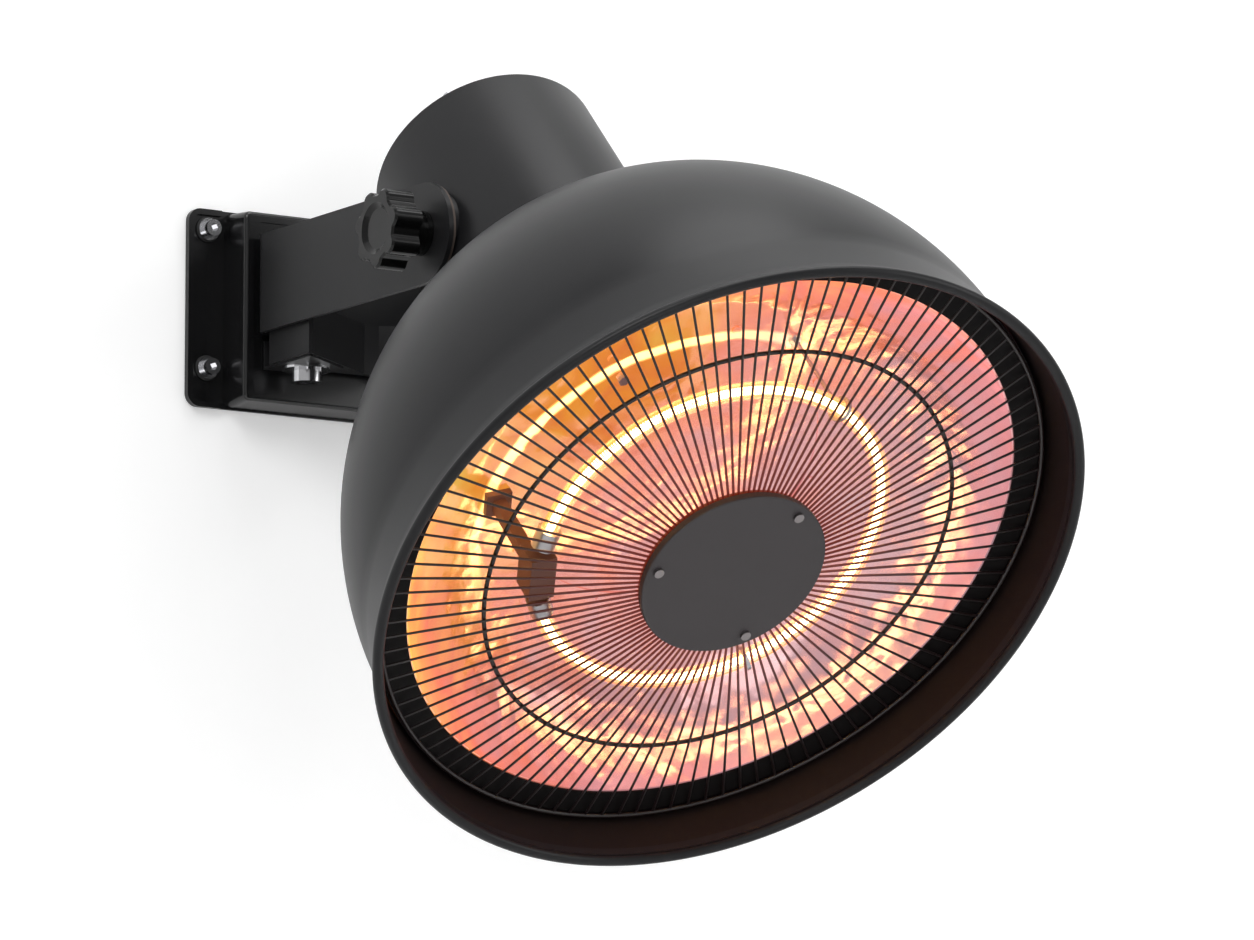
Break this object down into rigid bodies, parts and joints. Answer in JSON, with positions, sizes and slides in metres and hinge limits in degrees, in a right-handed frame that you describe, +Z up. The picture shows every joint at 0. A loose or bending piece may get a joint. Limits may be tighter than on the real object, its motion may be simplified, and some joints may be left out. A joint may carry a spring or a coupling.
{
  "type": "wall-mounted patio heater",
  "caption": "Round infrared lamp heater head with a wire guard, tilting between the arms of a wall bracket on two star knobs.",
  "frame": {"origin": "centre of the four wall bolts, on the wall behind the wall plate", "axes": "+Z up, +Y into the wall, so the head reaches out towards -Y; X is the tilt axis"},
  "size_m": [0.425, 0.616, 0.4671],
  "materials": {
    "wall_plate": "gloss black enamel",
    "bracket_paint": "satin dark grey powder coat",
    "shade_paint": "satin dark grey paint",
    "neck_paint": "satin dark grey paint",
    "inner_black": "matt black heat-proof paint",
    "chrome_bolts": "bright plated",
    "zinc_fixings": "zinc plated",
    "seal_rubber": "black rubber",
    "knob_plastic": "glossy black",
    "insert_brass": "turned brass",
    "friction_fibre": "fibre washer",
    "reflector_aluminium": "hammered bright aluminium",
    "shield_steel": "bare sheet",
    "grille_wire": "black coated wire",
    "disc_paint": "satin dark grey paint",
    "quartz": "clear quartz",
    "filament": "glowing coil",
    "ceramic_holder": "white steatite",
    "terminal_ceramic": "white steatite",
    "gland_plastic": "black nylon"
  },
  "bodies": {
    "wall_side": {"wall_plate": "wall_plate", "wall_seals": "seal_rubber", "wall_washers": "chrome_bolts", "wall_bolts": "chrome_bolts", "yoke": "bracket_paint", "yoke_spacers": "zinc_fixings", "yoke_bolts": "chrome_bolts", "yoke_nuts": "zinc_fixings", "pivot_block": "bracket_paint", "support_feet": "bracket_paint", "block_washers": "chrome_bolts", "block_bolts": "chrome_bolts", "block_nuts": "zinc_fixings"},
    "head": {"neck_housing": "neck_paint", "neck_collar": "zinc_fixings", "collar_screws": "zinc_fixings", "neck_cap": "neck_paint", "cap_screws": "zinc_fixings", "cable_gland": "gland_plastic", "gland_nut": "gland_plastic", "terminal_block": "terminal_ceramic", "tilt_bosses": "neck_paint", "friction_discs": "friction_fibre", "tilt_studs": "zinc_fixings", "shade": "shade_paint", "frame_ring": "inner_black", "reflector": "reflector_aluminium", "reflector_floor": "reflector_aluminium", "floor_rivets": "reflector_aluminium", "reflector_nuts": "zinc_fixings", "heat_shield": "shield_steel", "standoffs": "zinc_fixings", "standoff_nuts": "zinc_fixings", "lamp_tube": "quartz", "lamp_filament": "filament", "lamp_caps": "zinc_fixings", "lamp_holder": "ceramic_holder", "lamp_clips": "zinc_fixings", "grille_wires": "grille_wire", "grille_outer_ring": "grille_wire", "grille_middle_ring": "grille_wire", "grille_hub": "grille_wire", "centre_disc": "disc_paint", "disc_screws": "chrome_bolts", "disc_nuts": "zinc_fixings"},
    "left_knob": {"knob_left": "knob_plastic", "knob_insert_left": "insert_brass"},
    "right_knob": {"knob_right": "knob_plastic", "knob_insert_right": "insert_brass"}
  },
  "joints": [
    {"name": "head_tilt", "type": "hinge", "parent": "wall_side", "child": "head", "pos_m": [0, -0.219, 0.0064], "axis": [1, 0, 0], "range_deg": [-20, 40]},
    {"name": "left_knob_turn", "type": "hinge", "parent": "head", "child": "left_knob", "pos_m": [-0.09, -0.219, 0.0064], "axis": [-1, 0, 0], "continuous": true},
    {"name": "right_knob_turn", "type": "hinge", "parent": "head", "child": "right_knob", "pos_m": [0.09, -0.219, 0.0064], "axis": [1, 0, 0], "continuous": true}
  ]
}
